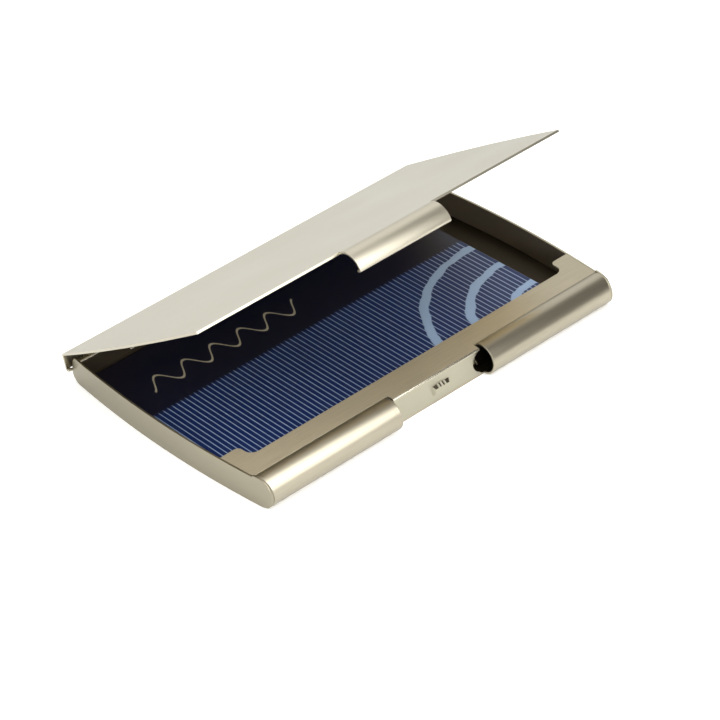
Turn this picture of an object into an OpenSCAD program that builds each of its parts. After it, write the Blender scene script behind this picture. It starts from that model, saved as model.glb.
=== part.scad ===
// Pressed steel pocket case for business cards, standing open on its flat bottom.
// Origin: middle of the bottom face. +X runs along the hinge, +Y towards the hinge, +Z up.

/* [Case] */
// Length between the outer faces of the two end plates at their front and rear ends
case_l = 92; // [88:0.5:100]
// How far each short side bows out past its ends
side_bow = 1.9; // [1:0.1:2.5]
// Height of the rim, which is the top edge of the end plates and of the ledge
rim_z = 6.6; // [6.4:0.1:7]
// Thickness of the base sheet
sheet_t = 0.5; // [0.4:0.05:0.5]

/* [Front roll] */
// Outer radius of the rolled front edge
roll_r = 3.5; // [3.4:0.05:3.6]
// Distance from the origin to the centre of the front roll
roll_back = 30; // [29.6:0.1:30.4]
// Width of the finger notch in the front roll
notch_w = 24.6; // [20:0.2:30]

/* [Ledge] */
// Thickness of the ledge sheet
ledge_t = 0.4; // [0.3:0.05:0.5]
// Distance from the origin to the inner edge of the ledge
ledge_in = 22.8; // [22:0.1:24]
// Distance from the origin to the inner edge of the ledge's two corner tabs
tab_in = 18.9; // [18:0.1:20]
// Distance from the middle to the inner corner of each tab
tab_x = 42.2; // [41:0.1:43]
// Radius of the round relief between tab and ledge
relief_r = 2.0; // [1.5:0.1:2.5]

/* [Lid] */
// Thickness of the lid sheet
lid_t = 0.5; // [0.4:0.05:0.5]
// Gap between the rim and the underside of the closed lid
lid_gap = 0.4; // [0.35:0.05:0.5]
// Length of the lid at its rear corners
lid_l = 94; // [93:0.2:95]
// Angle that the lid stands open
open_angle = 30; // [0:1:30]
// Lean of the lid's rear flange away from the vertical
flange_lean = 30; // [30:1:32]
// Length of the rear flange down its slope
flange_l = 4.8; // [4.7:0.05:4.9]
// Depth of the inward hem under the rear flange, between the end plates
hem_l = 1.1; // [0.8:0.05:1.1]
// Depth of the same hem at its two outer ends, past the end plates
hem_end_l = 2.0; // [1.1:0.1:2.2]
// Length of the curved latch lip
lip_l = 23.8; // [18:0.2:24]

/* [Hinge] */
// Radius of the hinge pin
pin_r = 0.5; // [0.45:0.01:0.52]
// Radial clearance between the pin and what turns on it
pin_gap = 0.05; // [0.03:0.01:0.08]
// Wire diameter of the two torsion springs
wire_d = 0.3; // [0.25:0.05:0.3]
// Turns in each torsion spring, of which the two arms take up a quarter
spring_turns = 6; // [4:1:7]

/* [Cards] */
// Length of a business card
card_l = 85; // [80:1:86]
// Width of a business card
card_w = 55; // [50:1:55]
// Thickness of one card
card_t = 0.3; // [0.25:0.05:0.35]

/* [Hidden] */
$fn = 96;
plan_fn = 720;

// Places across the case, in the plane of its cross-section
roll_y = -roll_back;
roll_tail_angle = -52;
groove_y = roll_y + sqrt(roll_r * roll_r - (rim_z - roll_r) * (rim_z - roll_r));
half_l = case_l / 2;
plate_t = 0.5;
bow_span = 33;
bow_r = (bow_span * bow_span + side_bow * side_bow) / (2 * side_bow);
rear_y = 32.2;
curl_r = 1.6;
plate_top_y = 30.7;
plate_knee_y = 31.8;
plate_knee_z = 3.9;
plate_round_r = 2.3;
plate_corner_r = 1.4;
plate_corner_steps = 8;
plate_lean_a = atan2(plate_knee_y - plate_top_y, rim_z - plate_knee_z);
plate_corner_y = plate_top_y - plate_corner_r * (1 - sin(plate_lean_a)) / cos(plate_lean_a);

// Hinge: the pin runs inside the channel that the lid's flange and hem make
pin_y = 31.3;
pin_z = 4.1;
knuckle_t = 0.4;
knuckle_r = pin_r + pin_gap + knuckle_t;
pin_half_l = half_l - plate_t - 0.2;

// Rear bracket
bracket_y = 28.5;
bracket_t = 0.5;
bracket_high_z = rim_z - 0.3;
bracket_low_z = 3.0;
bracket_step_x = 33.6;
bracket_knuckle_x = 34.4;
bracket_knuckle_l = 4.6;
bracket_foot_l = 1.6;

// Lid, worked out in its closed place and then turned open about the pin
lid_under_z = rim_z + lid_gap;
lid_top_z = lid_under_z + lid_t;
lid_rear_y = 31.2;
lid_front_y = -28.2;
lid_half_l = lid_l / 2;
lid_bow_span = 1.5;
flange_down = [sin(flange_lean), -cos(flange_lean)];
flange_foot = [lid_rear_y, lid_top_z] + flange_l * flange_down;
hem_slot_x0 = half_l - plate_t - 0.4;
hem_slot_x1 = half_l + 0.35;
lip_flat_y = -28.9;
lip_r = 4.0;
lip_wrap = 13;
lip_hem_l = 1.2;
lip_hem_t = 0.4;

// Lid hinge leaf
leaf_half_l = 32.6;
leaf_web_y = pin_y - knuckle_r;
leaf_flange_l = 5;
leaf_knuckle_x = 9;
leaf_knuckle_l = 22;

// Notch wall and catch
wall_y = -30.2;
wall_t = 0.4;
wall_half_l = 11.6;
wall_bend_r = 0.5;
wall_relief_r = 2.8;
catch_l = 4.6;
catch_x = 0.6;
catch_z = 3.1;
catch_h = 0.75;
catch_base_h = 2.4;
catch_top_h = 1.1;

// Springs
spring_mean_r = 0.84;
spring_x = 43.1;
spring_pitch = wire_d + 0.06;
spring_sides = 6;
spring_steps = 14;
spring_wraps = spring_turns - 0.25;
wall_arm_l = 2.1;
lid_arm_l = 3.5;

// Cards
card_floor_z = sheet_t + 0.02;
card_gap = 0.02;
card_rear_y = 28.2;
card_right_x = 40.2;

// Extrudes a (y, z) outline along X from x0 to x1
module along_x(x0, x1) {
    translate([x0, 0, 0]) rotate([90, 0, 90]) linear_extrude(x1 - x0) children();
}

// Plan outline with bowed short sides, straight front and straight back
module plan(half, y0, y1) {
    intersection() {
        translate([half + side_bow - bow_r, 0]) circle(bow_r, $fn = plan_fn);
        translate([bow_r - half - side_bow, 0]) circle(bow_r, $fn = plan_fn);
        translate([-60, y0]) square([120, y1 - y0]);
    }
}

// Ring section between two radii, kept from angle a0 to angle a1 (less than half a turn)
module arc_band(r_out, r_in, a0, a1) {
    intersection() {
        difference() {
            circle(r_out);
            circle(r_in);
        }
        polygon([[0, 0], 2 * r_out * [cos(a0), sin(a0)],
                 2.6 * r_out * [cos((a0 + a1) / 2), sin((a0 + a1) / 2)],
                 2 * r_out * [cos(a1), sin(a1)]]);
    }
}

// Ring round the hinge pin, cut open by a sector from angle a0 to angle a1
module knuckle_ring(a0, a1) {
    translate([pin_y, pin_z]) difference() {
        circle(knuckle_r, $fn = 48);
        circle(pin_r + pin_gap, $fn = 48);
        polygon([[0, 0], 3 * [cos(a0), sin(a0)], 4 * [cos((a0 + a1) / 2), sin((a0 + a1) / 2)],
                 3 * [cos(a1), sin(a1)]]);
    }
}

// Turns a closed lid piece to the open angle about the hinge pin
module open_lid() {
    translate([0, pin_y, pin_z]) rotate([-open_angle, 0, 0]) translate([0, -pin_y, -pin_z]) children();
}

module base_section() {
    translate([roll_y, roll_r]) {
        arc_band(roll_r, roll_r - sheet_t, roll_tail_angle, 80);
        arc_band(roll_r, roll_r - sheet_t, 80, 180);
        arc_band(roll_r, roll_r - sheet_t, 180, 270);
    }
    translate([roll_y, 0]) square([rear_y - curl_r - roll_y, sheet_t]);
    translate([rear_y - curl_r, curl_r]) arc_band(curl_r, curl_r - sheet_t, -90, 0);
}

module base_shell() {
    color([0.80, 0.78, 0.70]) intersection() {
        linear_extrude(2 * roll_r + 1) plan(half_l - plate_t, roll_y - roll_r - 1, rear_y + 1);
        difference() {
            along_x(-half_l - side_bow, half_l + side_bow) base_section();
            translate([-notch_w / 2, roll_y - 2 * roll_r, -1])
                cube([notch_w, wall_y - roll_y + 2 * roll_r, 3 * roll_r]);
            translate([-notch_w / 2, roll_y - roll_r, sheet_t]) cube([notch_w, 2 * roll_r, 2 * roll_r]);
        }
    }
}

// Upper rear corner of an end plate, from its leaning rear edge to its rim
plate_corner_points = [for (i = [0 : plate_corner_steps])
    let (a = plate_lean_a + (90 - plate_lean_a) * i / plate_corner_steps)
    [plate_corner_y, rim_z - plate_corner_r] + plate_corner_r * [cos(a), sin(a)]];

// Side view of an end plate: round at the front, leaning back and rounded below and above at the rear
module plate_outline() {
    translate([roll_y, roll_r]) circle(roll_r);
    difference() {
        union() {
            polygon(concat(
                [[roll_y, 0], [rear_y - plate_round_r, 0], [plate_knee_y, plate_knee_z]],
                plate_corner_points,
                [[groove_y, rim_z], [roll_y, rim_z]]));
            translate([rear_y - plate_round_r, plate_round_r]) circle(plate_round_r);
        }
        translate([roll_y - 10, 0]) square([10, 10]);
    }
}

module end_plate(side) {
    intersection() {
        linear_extrude(2 * roll_r + 1) difference() {
            plan(half_l, roll_y - roll_r - 1, rear_y + 1);
            plan(half_l - plate_t, roll_y - roll_r - 2, rear_y + 2);
        }
        along_x(side > 0 ? 0 : -60, side > 0 ? 60 : 0) plate_outline();
    }
}

module left_end_plate() {
    color([0.66, 0.64, 0.56]) end_plate(-1);
}

module right_end_plate() {
    color([0.66, 0.64, 0.56]) end_plate(1);
}

// Plan of the ledge: narrow in the middle, with a tab at each end and a round relief beside it
module ledge_plan() {
    difference() {
        plan(half_l - plate_t, groove_y + 0.05, -tab_in);
        translate([-tab_x + relief_r, -ledge_in]) square([2 * (tab_x - relief_r), 10]);
        for (s = [-1, 1]) {
            translate([s * (tab_x - relief_r), relief_r - ledge_in]) circle(relief_r);
            translate([s * (tab_x - relief_r / 2) - relief_r / 2, relief_r - ledge_in])
                square([relief_r, 10]);
        }
    }
    translate([-wall_half_l, wall_y + wall_bend_r])
        square([2 * wall_half_l, groove_y - wall_y - wall_bend_r + 0.1]);
}

// Raised catch with a flat nose and sloping faces, pressed out of the notch wall
module catch_bump() {
    along_x(catch_x - catch_l / 2, catch_x + catch_l / 2)
        polygon([[wall_y + 0.1, catch_z - catch_base_h / 2], [wall_y, catch_z - catch_base_h / 2],
                 [wall_y - catch_h, catch_z - catch_top_h / 2],
                 [wall_y - catch_h, catch_z + catch_top_h / 2],
                 [wall_y, catch_z + catch_base_h / 2], [wall_y + 0.1, catch_z + catch_base_h / 2]]);
}

module front_ledge() {
    color([0.70, 0.64, 0.52]) {
        // Flat ledge, hollowed under its front edge where it rests on the two rolls
        difference() {
            translate([0, 0, rim_z - ledge_t]) linear_extrude(ledge_t) ledge_plan();
            for (x = [-60, notch_w / 2 - 0.1])
                along_x(x, x + 60.1 - notch_w / 2) translate([roll_y, roll_r]) circle(roll_r + 0.02);
        }
        // Notch wall, cut round at its +X end so that the open end of that roll stays free
        difference() {
            along_x(-wall_half_l, wall_half_l) {
                translate([wall_y + wall_bend_r, rim_z - wall_bend_r])
                    arc_band(wall_bend_r, wall_bend_r - wall_t, 90, 180);
                translate([wall_y, sheet_t]) square([wall_t, rim_z - wall_bend_r - sheet_t]);
            }
            translate([notch_w / 2, wall_y - wall_t, roll_r]) rotate([-90, 0, 0])
                cylinder(r = wall_relief_r, h = 3 * wall_t);
        }
        catch_bump();
    }
}

// Wall of the bracket between two places along it, standing on the floor
module bracket_wall(x0, x1, top_z) {
    along_x(x0, x1) translate([bracket_y, sheet_t]) square([bracket_t, top_z - sheet_t]);
}

module bracket_knuckle(x0) {
    along_x(x0, x0 + bracket_knuckle_l) {
        knuckle_ring(-150, -20);
        translate([bracket_y + 0.1, pin_z + knuckle_r - knuckle_t])
            square([pin_y - bracket_y - 0.1, knuckle_t]);
    }
}

module rear_bracket() {
    color([0.55, 0.52, 0.46]) {
        intersection() {
            linear_extrude(rim_z) plan(half_l - plate_t, 0, rear_y);
            union() {
                // Foot that lies on the floor behind the wall
                along_x(-60, 60) translate([bracket_y, sheet_t])
                    square([bracket_t + bracket_foot_l, bracket_t]);
                bracket_wall(-60, 60, bracket_low_z);
                bracket_wall(-60, -bracket_step_x, bracket_high_z);
                bracket_wall(bracket_step_x, 60, bracket_high_z);
            }
        }
        for (s = [-1, 1])
            bracket_knuckle(s > 0 ? bracket_knuckle_x : -bracket_knuckle_x - bracket_knuckle_l);
    }
}

module hinge_pin() {
    color([0.60, 0.60, 0.58]) along_x(-pin_half_l, pin_half_l)
        translate([pin_y, pin_z]) circle(pin_r, $fn = 48);
}

// Unit vector in the (y, z) plane, as a point in space
function across(a) = [0, cos(a), sin(a)];

// Middle of the wire: down the lid's arm, round the pin, then forward along the wall's arm
function spring_path(side) =
    let (low = [side * spring_x - spring_wraps * spring_pitch / 2, pin_y, pin_z],
         high = low + [spring_wraps * spring_pitch, 0, 0],
         steps = round(spring_wraps * spring_steps))
    concat([low + spring_mean_r * across(180) + [0, 0, lid_arm_l]],
           [for (i = [0 : steps])
               let (t = i / spring_steps)
               low + [t * spring_pitch, 0, 0] + spring_mean_r * across(180 + 360 * t)],
           [high + spring_mean_r * across(90) - [0, wall_arm_l, 0]]);

// Direction in which each ring of the wire's skin stands out from the pin
function spring_outs(side) =
    let (steps = round(spring_wraps * spring_steps))
    concat([across(180)], [for (i = [0 : steps]) across(180 + 360 * i / spring_steps)], [across(90)]);

// Torsion spring round the pin, as one swept wire
module spring(side) {
    path = spring_path(side);
    outs = spring_outs(side);
    last = len(path) - 1;
    n = spring_sides;
    points = [for (i = [0 : last]) for (k = [0 : n - 1])
        path[i] + wire_d / 2 * (sin(360 * k / n) * [1, 0, 0] + cos(360 * k / n) * outs[i])];
    walls = [for (i = [0 : last - 1]) for (k = [0 : n - 1])
        [i * n + k, (i + 1) * n + k, (i + 1) * n + (k + 1) % n, i * n + (k + 1) % n]];
    caps = [[for (k = [0 : n - 1]) k], [for (k = [n - 1 : -1 : 0]) last * n + k]];
    polyhedron(points, concat(walls, caps));
}

module left_spring() {
    color([0.62, 0.60, 0.55]) spring(-1);
}

module right_spring() {
    color([0.62, 0.60, 0.55]) spring(1);
}

// Lid section in its closed place: panel, leaning flange and inward hem
module lid_section(hem) {
    inner_x = lid_t * (1 - sin(flange_lean)) / cos(flange_lean);
    foot_x = lid_t * (1 + sin(flange_lean)) / cos(flange_lean);
    polygon([[lid_front_y, lid_under_z], [lid_front_y, lid_top_z], [lid_rear_y, lid_top_z], flange_foot,
             flange_foot - [hem, 0], flange_foot + [-hem, lid_t], flange_foot + [-foot_x, lid_t],
             [lid_rear_y - inner_x, lid_under_z]]);
}

// Latch lip section: a short flat, a quarter round and an inward hem
module lip_section() {
    translate([lip_flat_y, lid_under_z]) square([lid_front_y - lip_flat_y, lid_t]);
    translate([lip_flat_y, lid_top_z - lip_r]) {
        arc_band(lip_r, lip_r - lid_t, 90, 180 + lip_wrap);
        rotate(180 + lip_wrap) translate([lip_r - lip_hem_l, 0]) square([lip_hem_l, lip_hem_t]);
    }
}

module lid_closed() {
    difference() {
        union() {
            intersection() {
                translate([0, lid_bow_span, 0]) linear_extrude(lid_top_z + 2)
                    plan(lid_half_l, lid_front_y - 2 * lid_bow_span, rear_y + 2);
                union() {
                    along_x(-60, -hem_slot_x1) lid_section(hem_end_l);
                    along_x(-hem_slot_x1, hem_slot_x1) lid_section(hem_l);
                    along_x(hem_slot_x1, 60) lid_section(hem_end_l);
                }
            }
            along_x(-lip_l / 2, lip_l / 2) lip_section();
        }
        // Slots in the hem that clear the end plates
        for (x = [-hem_slot_x1, hem_slot_x0])
            translate([x, pin_y, 0]) cube([hem_slot_x1 - hem_slot_x0, 4, flange_foot[1] + lid_t + 0.1]);
    }
}

module lid() {
    color([0.83, 0.82, 0.77]) open_lid() lid_closed();
}

// Leaf under the lid: top strip, web and knuckles round the pin
module leaf_closed() {
    along_x(-leaf_half_l, leaf_half_l) {
        translate([leaf_web_y - leaf_flange_l, lid_under_z - knuckle_t]) square([leaf_flange_l, knuckle_t]);
        translate([leaf_web_y, pin_z + knuckle_r]) square([knuckle_t, lid_under_z - pin_z - knuckle_r]);
    }
    for (s = [-1, 1])
        along_x(s > 0 ? leaf_knuckle_x : -leaf_knuckle_x - leaf_knuckle_l,
                s > 0 ? leaf_knuckle_x + leaf_knuckle_l : -leaf_knuckle_x) {
            knuckle_ring(-80, 0);
            translate([leaf_web_y, pin_z]) square([knuckle_t, knuckle_r + 0.1]);
        }
}

module lid_hinge_leaf() {
    color([0.75, 0.72, 0.64]) open_lid() leaf_closed();
}

module card(level) {
    translate([card_right_x - card_l, card_rear_y - card_w, card_floor_z + level * (card_t + card_gap)])
        cube([card_l, card_w, card_t]);
}

module top_card() {
    color([0.07, 0.13, 0.33]) card(3);
}

module second_card() {
    color([0.92, 0.90, 0.84]) card(2);
}

module third_card() {
    color([0.92, 0.90, 0.84]) card(1);
}

module bottom_card() {
    color([0.92, 0.90, 0.84]) card(0);
}

base_shell();
left_end_plate();
right_end_plate();
front_ledge();
rear_bracket();
hinge_pin();
left_spring();
right_spring();
lid();
lid_hinge_leaf();
top_card();
second_card();
third_card();
bottom_card();
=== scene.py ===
"""Looks of a pressed steel pocket case for business cards, standing open with a pile of cards in it.

Lengths in the shaping code are millimetres in the case's own frame: +X along the hinge, +Y towards
the hinge, +Z up from the middle of the bottom. The helpers turn them into metres.
"""

import math

import bmesh
import bpy
from mathutils import Matrix, Vector


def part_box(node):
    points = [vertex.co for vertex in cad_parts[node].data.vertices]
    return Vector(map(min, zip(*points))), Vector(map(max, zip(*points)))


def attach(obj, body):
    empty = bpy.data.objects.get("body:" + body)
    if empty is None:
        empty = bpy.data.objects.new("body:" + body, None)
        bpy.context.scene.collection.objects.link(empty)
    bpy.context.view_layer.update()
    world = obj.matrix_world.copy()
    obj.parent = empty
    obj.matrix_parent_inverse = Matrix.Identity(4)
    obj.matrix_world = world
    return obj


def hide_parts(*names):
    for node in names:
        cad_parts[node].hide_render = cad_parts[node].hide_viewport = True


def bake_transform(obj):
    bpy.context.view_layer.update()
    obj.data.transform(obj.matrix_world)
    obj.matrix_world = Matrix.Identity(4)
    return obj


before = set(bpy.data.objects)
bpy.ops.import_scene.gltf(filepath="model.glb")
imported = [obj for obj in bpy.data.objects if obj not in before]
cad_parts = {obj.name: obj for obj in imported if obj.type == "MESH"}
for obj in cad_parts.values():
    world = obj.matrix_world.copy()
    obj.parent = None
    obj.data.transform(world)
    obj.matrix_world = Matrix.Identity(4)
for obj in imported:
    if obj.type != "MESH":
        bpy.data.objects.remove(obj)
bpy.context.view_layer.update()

bl_info = {
    "name": "Pocket Card Case",
    "version": (1, 0, 0),
    "blender": (4, 5, 0),
    "location": "View3D > Sidebar > Card Case",
    "description": "Builds a pressed steel business card case with its cards",
    "category": "Add Mesh",
}

MM = 0.001
NEAR = 0.02  # mm within which a point counts as being at a place
GRAZING_TINT = (0.80, 0.82, 0.84, 1.0)  # steel doesn't whiten fully at a glancing angle

# Plan of the case: its short sides are arcs that bow out
HALF_LENGTH = 46.0
SIDE_BOW = 1.9
BOW_SPAN = 33.0
BOW_RADIUS = (BOW_SPAN**2 + SIDE_BOW**2) / (2 * SIDE_BOW)
BOW_CUTS = 24
BLANK_HALF = 49.0  # half the length of a sheet before its short sides are trimmed

# Cross-section
RIM = 6.6
ROLL_Y, ROLL_Z, ROLL_RADIUS = -30.0, 3.5, 3.5
ROLL_TAIL = -52  # degrees at which the rolled sheet ends, behind and below the roll
GROOVE_Y = ROLL_Y + math.sqrt(ROLL_RADIUS**2 - (RIM - ROLL_Z) ** 2)
NOTCH_HALF = 12.3
CURL_Y, CURL_RADIUS = 30.6, 1.6
WALL_Y = -30.2
WALL_HALF = 11.6
CATCH_X, CATCH_Z = 0.6, 3.1
PIN_Y, PIN_Z = 31.3, 4.1
SPRING_X = 43.1
LID_TOP = 7.5
LID_FRONT, LID_REAR = -28.2, 31.2
LID_HALF = 47.0
LID_SHIFT = 1.5
LIP_HALF = 11.9
LIP_Y, LIP_Z, LIP_RADIUS = -28.9, 3.5, 4.0

# Painted shade: this dark steel stands for the shade inside the case, under the open lid
PAINTED_SHADE_INSIDE = "dull steel inside the case"


def linear(code):
    """A colour written as sRGB hex, as linear red, green, blue and alpha."""
    parts = [int(code[i : i + 2], 16) / 255 for i in (1, 3, 5)]
    return [c / 12.92 if c <= 0.04045 else ((c + 0.055) / 1.055) ** 2.4 for c in parts] + [1.0]


def add_node(tree, kind, inputs=None, **settings):
    """Adds one shader node with its settings. Each input is a value or the socket it is linked to."""
    made = tree.nodes.new(kind)
    for name, value in settings.items():
        setattr(made, name, value)
    for name, value in (inputs or {}).items():
        if isinstance(value, bpy.types.NodeSocket):
            tree.links.new(value, made.inputs[name])
        else:
            made.inputs[name].default_value = value
    return made


# Settings that each length, colour or power in the sidebar shares
LENGTH = {"precision": 5, "unit": "LENGTH"}
COLOUR = {"size": 4, "subtype": "COLOR", "min": 0, "max": 1}
POWER = {"min": 0, "subtype": "POWER", "unit": "POWER"}


class CaseSizes(bpy.types.PropertyGroup):
    sheet: bpy.props.FloatProperty(
        name="Sheet", description="Thickness of the base, plate and lid sheet",
        default=0.5 * MM, min=0.3 * MM, max=0.6 * MM, **LENGTH)
    ledge_sheet: bpy.props.FloatProperty(
        name="Ledge sheet", description="Thickness of the ledge sheet",
        default=0.4 * MM, min=0.3 * MM, max=0.5 * MM, **LENGTH)
    edge_break: bpy.props.FloatProperty(
        name="Edge break", description="Width of the rounding on the cut edges of the sheet",
        default=0.07 * MM, min=0.02 * MM, max=0.15 * MM, **LENGTH)
    card: bpy.props.FloatProperty(
        name="Card", description="Thickness of one card",
        default=0.3 * MM, min=0.2 * MM, max=0.4 * MM, **LENGTH)
    open_angle: bpy.props.FloatProperty(
        name="Open angle", description="Angle at which the lid stands open",
        default=math.radians(30), subtype="ANGLE", unit="ROTATION")


class CaseColours(bpy.types.PropertyGroup):
    steel: bpy.props.FloatVectorProperty(
        name="Steel", description="Brushed stainless steel of the lid, its leaf and the fold",
        default=linear("#BEB8A7"), **COLOUR)
    # Painted light: the underside is lighter and warmer than the lid's steel, for the light it
    # catches and shows in the ledge
    under_lid_lit: bpy.props.FloatVectorProperty(
        name="Under the lid", description="Coarse brushed steel on the lid's underside, painted lighter as light it catches",
        default=linear("#D8C8A4"), **COLOUR)
    rolls: bpy.props.FloatVectorProperty(
        name="Rolls", description="Darker brushed steel of the base and its rolls",
        default=linear("#A8A190"), **COLOUR)
    plate: bpy.props.FloatVectorProperty(
        name="Plate", description="Satin steel of the end plates, the pin and the springs",
        default=linear("#9A9482"), **COLOUR)
    # Painted shade: the plates' inner side is made darker for the shade inside the case
    plate_inner_shade: bpy.props.FloatVectorProperty(
        name="Plate inside shade", description="Rough steel of the end plates' inner side, painted darker as shade",
        default=linear("#93897A"), **COLOUR)
    ledge: bpy.props.FloatVectorProperty(
        name="Ledge", description="Warmer, coarser brushed steel of the ledge",
        default=linear("#BBB29C"), **COLOUR)
    wall: bpy.props.FloatVectorProperty(
        name="Wall", description="Satin steel of the notch wall and the catch",
        default=linear("#ABA796"), **COLOUR)
    # Painted shade: the floor inside the case and the gaps of the catch are made this dark for the
    # shade there
    inside: bpy.props.FloatVectorProperty(
        name="Inside", description="Rough steel inside the case, painted dark as shade",
        default=linear("#3E382E"), **COLOUR)
    bracket: bpy.props.FloatVectorProperty(
        name="Bracket", description="Dark unpolished steel of the rear bracket",
        default=linear("#6B604F"), **COLOUR)
    # Painted highlight: the bracket's upward faces get this bright colour for the light they catch
    bracket_top_highlight: bpy.props.FloatVectorProperty(
        name="Bracket highlight", description="Painted highlight on the bracket's upward faces",
        default=linear("#F0ECE2"), **COLOUR)
    card_blue: bpy.props.FloatVectorProperty(
        name="Card blue", description="Blue ground of the top card",
        default=linear("#092152"), **COLOUR)
    card_dark: bpy.props.FloatVectorProperty(
        name="Card band", description="Dark band at the rear of the top card",
        default=linear("#0D1026"), **COLOUR)
    card_line: bpy.props.FloatVectorProperty(
        name="Card stripes", description="Thin pale stripes on the top card",
        default=linear("#8FA3C4"), **COLOUR)
    card_ripples: bpy.props.FloatVectorProperty(
        name="Card ripples", description="Pale ripples on the top card",
        default=linear("#8AA2C2"), **COLOUR)
    card_wave: bpy.props.FloatVectorProperty(
        name="Card wave", description="Thin wave line on the dark band",
        default=linear("#A9A595"), **COLOUR)
    # Painted shade: the cards' white cut edges are made tan for the shade in the pile
    paper: bpy.props.FloatVectorProperty(
        name="Paper", description="Cut edges of the cards below, white card painted tan as shade",
        default=linear("#C9BC9B"), **COLOUR)


class StageSettings(bpy.types.PropertyGroup):
    world_light: bpy.props.FloatProperty(
        name="Room light", description="Strength of the even light of the room",
        default=0.25, min=0)
    sun_light: bpy.props.FloatProperty(
        name="Overhead light", description="Strength of the broad overhead light",
        default=2.2, min=0)
    softbox_light: bpy.props.FloatProperty(
        name="Softbox light", description="Power of the softbox at the front", default=0.5, **POWER)
    fill_light: bpy.props.FloatProperty(
        name="Fill light", description="Power of the low panel at the front left", default=0.05,
        **POWER)
    back_light: bpy.props.FloatProperty(
        name="Back panel light", description="Power of the panel behind the case", default=0.85,
        **POWER)


# ---------------------------------------------------------------- shaping tools


def metres(point):
    """A point or a size in millimetres, as a list in metres."""
    return [c * MM for c in point]


def select_only(piece):
    """Makes one object the selected and active one."""
    bpy.ops.object.select_all(action="DESELECT")
    piece.select_set(True)
    bpy.context.view_layer.objects.active = piece


def start_sheet(name, x0, x1, y0, y1, z):
    """A flat rectangle of sheet to shape, left in edit mode."""
    return start_panel(name, ((x0 + x1) / 2, (y0 + y1) / 2, z), (x1 - x0, y1 - y0), (0, 0, 0))


def start_panel(name, middle, size, turn):
    """A flat rectangle at any turn, with its place in its mesh, left in edit mode."""
    bpy.ops.object.select_all(action="DESELECT")
    bpy.ops.mesh.primitive_plane_add(size=1, location=metres(middle), rotation=turn)
    piece = bpy.context.object
    piece.name = piece.data.name = name
    piece.scale = (size[0] * MM, size[1] * MM, 1)
    settle(piece)
    bpy.ops.object.mode_set(mode="EDIT")
    return piece


def settle(piece):
    """Puts the piece's place, turn and size into its mesh."""
    select_only(piece)
    bpy.ops.object.transform_apply(location=True, rotation=True, scale=True)


def pick(kind, test):
    """In edit mode, selects only the verts, edges or faces that pass the test.

    The test is given each corner and the middle in millimetres, and has to hold for all of them.
    """
    bpy.context.tool_settings.mesh_select_mode = (kind == "verts", kind == "edges", kind == "faces")
    bpy.ops.mesh.select_all(action="DESELECT")
    mesh = bpy.context.object.data
    shape = bmesh.from_edit_mesh(mesh)
    found = 0
    for part in getattr(shape, kind):
        points = [part.co] if kind == "verts" else [v.co for v in part.verts]
        points.append(sum(points, Vector()) / len(points))
        if all(test(p / MM) for p in points):
            part.select_set(True)
            found += 1
    bmesh.update_edit_mesh(mesh)
    if not found:
        raise RuntimeError(f"nothing to select on {bpy.context.object.name}")


def pull(y, z):
    """Extrudes what is selected, across the hinge's direction."""
    bpy.ops.mesh.extrude_region_move(TRANSFORM_OT_translate={"value": (0, y * MM, z * MM)})


def bend(centre_y, centre_z, degrees, steps):
    """Bends the sheet on from the selected edge, about a line along X. Plus turns +Y to +Z."""
    bpy.ops.mesh.spin(steps=steps, angle=-math.radians(degrees), axis=(1, 0, 0),
                      center=(0, centre_y * MM, centre_z * MM))


def score(point, normal):
    """Adds edges where a plane crosses what is selected."""
    bpy.ops.mesh.bisect(plane_co=metres(point), plane_no=normal)


def trim(point, normal):
    """Cuts away everything on the normal's side of a plane."""
    bpy.ops.mesh.select_all(action="SELECT")
    bpy.ops.mesh.bisect(plane_co=metres(point), plane_no=normal, clear_outer=True)


def score_across(*places):
    """Adds edges across the whole sheet at these places along X."""
    for x in places:
        bpy.ops.mesh.select_all(action="SELECT")
        score((x, 0, 0), (1, 0, 0))


def trim_round(centre_y, centre_z, radius, degrees):
    """Trims an upright sheet to a round by tangent cuts, one at each angle from +Y towards +Z."""
    for angle in degrees:
        normal = Vector((0, math.cos(math.radians(angle)), math.sin(math.radians(angle))))
        trim(Vector((0, centre_y, centre_z)) + radius * normal, normal)


def trim_to_bow(half, shift=0.0):
    """Trims both short sides to their bow by tangent cuts, which run on past the bow's ends."""
    overrun = 3
    reach = math.asin((BOW_SPAN + overrun) / BOW_RADIUS)
    for side in (-1, 1):
        for i in range(BOW_CUTS):
            angle = reach * (2 * (i + 0.5) / BOW_CUTS - 1)
            normal = Vector((side * math.cos(angle), math.sin(angle), 0))
            centre = Vector((side * (half + SIDE_BOW - BOW_RADIUS), shift, 0))
            trim(centre + BOW_RADIUS * normal, normal)


def face_out(place, direction):
    """Makes the normals agree, with the face nearest the place looking along the direction."""
    bpy.ops.mesh.select_all(action="SELECT")
    bpy.ops.mesh.normals_make_consistent(inside=False)
    shape = bmesh.from_edit_mesh(bpy.context.object.data)
    target = Vector(place) * MM
    nearest = min(shape.faces, key=lambda f: (f.calc_center_median() - target).length)
    if nearest.normal.dot(Vector(direction)) < 0:
        bpy.ops.mesh.flip_normals()


def apply_modifier(piece, kind, **settings):
    """Adds one modifier and applies it."""
    made = piece.modifiers.new(kind.title(), kind)
    for name, value in settings.items():
        setattr(made, name, value)
    bpy.context.view_layer.objects.active = piece
    bpy.ops.object.modifier_apply(modifier=made.name)


def thicken(piece, thickness):
    """Gives the skin its sheet thickness, towards its inner side."""
    bpy.ops.object.mode_set(mode="OBJECT")
    apply_modifier(piece, "SOLIDIFY", thickness=thickness, offset=-1, use_even_offset=True,
                   use_quality_normals=True)


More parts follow.
